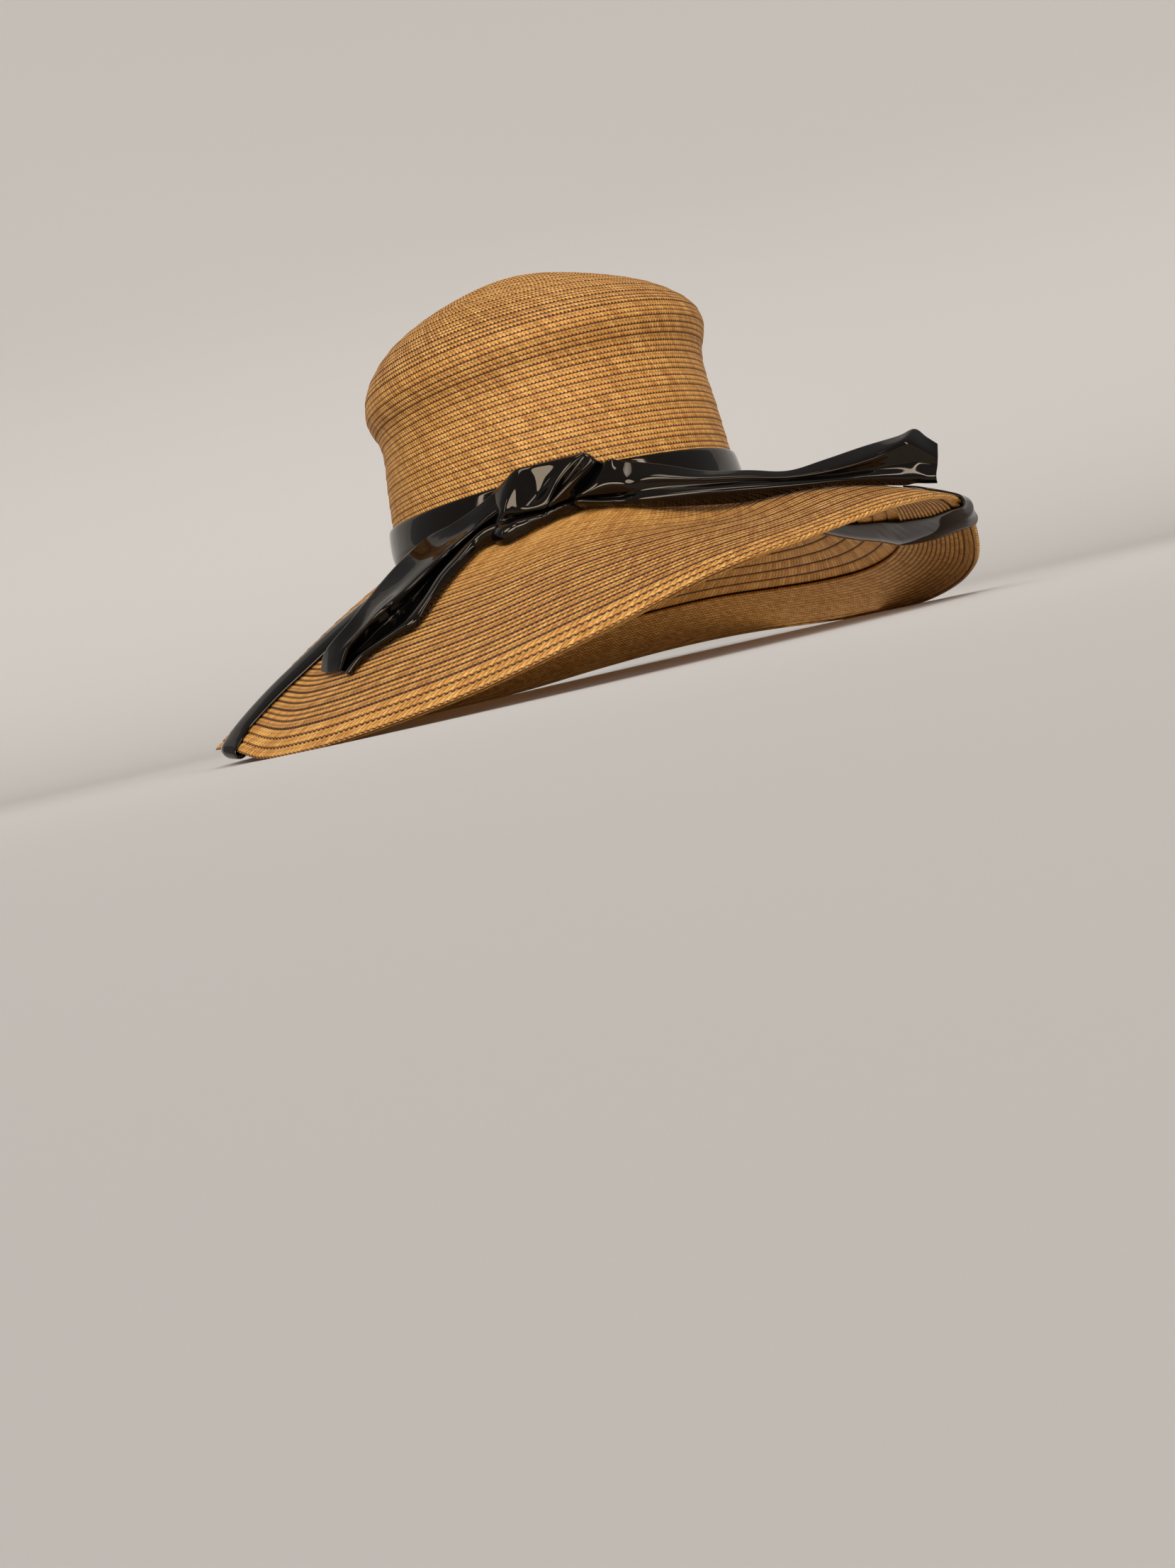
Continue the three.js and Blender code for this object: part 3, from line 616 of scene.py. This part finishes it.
def roundRim(angle, inset, lift):  # a place so far in from the rim on top, or below where inset is negative
    half = hatForm["wall"] / 2 + lift
    span = np.linalg.norm(brimTop(angle, 1.0) - brimTop(angle, 0.0), axis=-1)
    bend = half * math.pi / 2
    share = 1 - np.maximum(np.abs(inset) - bend, 0) / span
    turn = np.clip(inset / half, -math.pi / 2, math.pi / 2)[..., None]
    outward = unit(brimTop(angle, 1.0) - brimTop(angle, 0.99))
    curled = (overBrim(angle, 1.0, -hatForm["wall"] / 2) + outward * np.cos(turn) * half[..., None]
              + brimNormal(angle, 1.0) * np.sin(turn) * half[..., None])
    shares, depths = zip(*underDepths)
    depth = np.where(inset > 0, lift, -lift - np.interp(share, shares, depths))
    return np.where(np.abs(inset)[..., None] < bend[..., None], curled, overBrim(angle, share, depth))


vinylSheet = dict(thickness=0.9, along=72, across=30, strapWidth=19, strapLift=0.9, strapAlong=200,
                  strapReads=2000, rimRadius=195, radiusFall=0.85,  # of the row of braid that a strap crosses
                  strapSection=((-.5, .1), (-.46, .8), (-.2, 2.2), (.04, 2.8), (.12, 2.7), (.3, 1.6),
                                (.46, .6), (.5, .1)))  # place across, height where it is full


def strapPoints(rows, v):
    angle, inset, fullness = readRows(rows, np.linspace(0, 1, v["strapReads"])).T
    angle = np.radians(angle)
    steps = np.hypot(np.diff(angle) * crossedRadius(inset[1:], v), np.diff(inset))
    lengths = np.concatenate([[0], np.cumsum(steps)])
    even = np.linspace(0, lengths[-1], v["strapAlong"] + 1)
    angle, inset, fullness = (np.interp(even, lengths, column) for column in (angle, inset, fullness))
    radius = crossedRadius(inset, v)
    course = unit(np.stack([np.gradient(angle) * radius, np.gradient(inset)], -1))
    across, height = np.array(v["strapSection"]).T[:, :, None]
    aside = across * v["strapWidth"]
    angles = angle + aside * course[:, 1] / radius
    insets = inset - aside * course[:, 0]
    return roundRim(angles, insets, v["strapLift"] + height * fullness)


def crossedRadius(inset, v):
    return v["rimRadius"] - v["radiusFall"] * np.abs(inset)


def makeTies(v):
    pieces = {}
    cages = {"tailLeft": np.array(tailLeftCage), "knot": knotPoints(), "tailRight": np.array(tailRightCage)}
    points = {"strapLeft": strapPoints(strapLeftRows, v), "strapRight": strapPoints(strapRightRows, v)}
    for name, cage in cages.items():
        points[name] = loftLines(cage.transpose(1, 0, 2), v["along"], v["across"])
    nodes = dict(tailLeft="tail_left", knot="knot", tailRight="tail_right", strapLeft="strap_left",
                 strapRight="strap_right")
    for name, node in nodes.items():
        pieces[name] = makeSheet(name + "Sheet", points[name], v["thickness"])
        finishPiece(pieces[name], (patentVinyl,), "patent_vinyl", node)
    return pieces


ties = makeTies(vinylSheet)


# Floor, backdrop and light
studio = dict(floorColour="#c0bab3", floorSize=8, floorRoughness=0.9, backdropAt=2.4, backdropHigh=4,
              coveRadius=0.9, coveSteps=16, air="#d4d5d8", airStrength=0.4,
              sunFrom=(-0.2, -0.85, 0.6), sunStrength=2.65, sunSpread=35,
              lights=(  # name, place, width, height, watts, spread in degrees, aim
                  ("softboxAbove", (0.35, -0.5, 1.5), 0.6, 0.5, 0.38, 45, (0, 0, 0.1)),
                  ("stripLeft", (-1.5, -1.0, 0.9), 0.14, 1.6, 1.6, 90, (0, 0, 0.15)),
                  ("stripRight", (1.6, -0.9, 0.8), 0.12, 1.2, 1.3, 90, (0, 0, 0.15)),
                  ("lowFill", (0.5, -1.1, 0.17), 0.9, 0.25, 0.7, 50, (0.05, 0, 0.08)),
                  ("underFill", (0.03, 0.02, 0.0015), 0.26, 0.26, 0.1, 180, (0.03, 0.02, 1))))


def makeFloor(v):  # matt paper that curves up into the backdrop
    bpy.ops.object.select_all(action="DESELECT")
    middle = v["backdropAt"] - v["floorSize"] / 2
    bpy.ops.mesh.primitive_plane_add(size=v["floorSize"], location=(0, middle, 0))
    floor = bpy.context.object
    floor.name = "floor"
    bpy.ops.object.transform_apply(location=True)
    bpy.ops.object.mode_set(mode="EDIT")
    bpy.ops.mesh.select_all(action="DESELECT")
    bpy.ops.object.mode_set(mode="OBJECT")
    for edge in floor.data.edges:
        edge.select = all(abs(floor.data.vertices[i].co.y - v["backdropAt"]) < 0.01 for i in edge.vertices)
    bpy.ops.object.mode_set(mode="EDIT")
    bpy.ops.mesh.select_mode(type="EDGE")
    bpy.ops.mesh.extrude_region_move(TRANSFORM_OT_translate={"value": (0, 0, v["backdropHigh"])})
    bpy.ops.object.mode_set(mode="OBJECT")
    applyModifier(floor, "BEVEL", width=v["coveRadius"], segments=v["coveSteps"], limit_method="ANGLE")
    bpy.ops.object.shade_smooth()
    material = bpy.data.materials.new("palePaper")
    material.use_nodes = True
    shader = material.node_tree.nodes["Principled BSDF"]
    shader.inputs["Base Color"].default_value = linear(v["floorColour"])
    shader.inputs["Roughness"].default_value = v["floorRoughness"]
    floor.data.materials.append(material)


def hangLamp(light, spot, direction):
    lamp = bpy.data.objects.new(light.name, light)
    bpy.context.collection.objects.link(lamp)
    lamp.location = spot
    lamp.rotation_euler = direction.to_track_quat("-Z", "Y").to_euler()
    return lamp


def makeLights(v):
    for name, spot, wide, high, power, spread, goal in v["lights"]:
        light = bpy.data.lights.new(name, "AREA")
        light.shape, light.size, light.size_y, light.energy = "RECTANGLE", wide, high, power
        light.spread = math.radians(spread)
        hangLamp(light, spot, Vector(goal) - Vector(spot)).visible_camera = False
    sun = bpy.data.lights.new("softSun", "SUN")
    sun.energy, sun.angle = v["sunStrength"], math.radians(v["sunSpread"])
    hangLamp(sun, (0, 0, 0), -Vector(v["sunFrom"]))
    world = bpy.data.worlds.new("studioAir")
    world.use_nodes = True
    air = world.node_tree.nodes["Background"]
    air.inputs[0].default_value = linear(v["air"])
    air.inputs[1].default_value = v["airStrength"]
    bpy.context.scene.world = world
    bpy.context.scene.view_settings.view_transform = "Standard"  # plain colours, as in a photograph


makeFloor(studio)
makeLights(studio)
print("studio made")
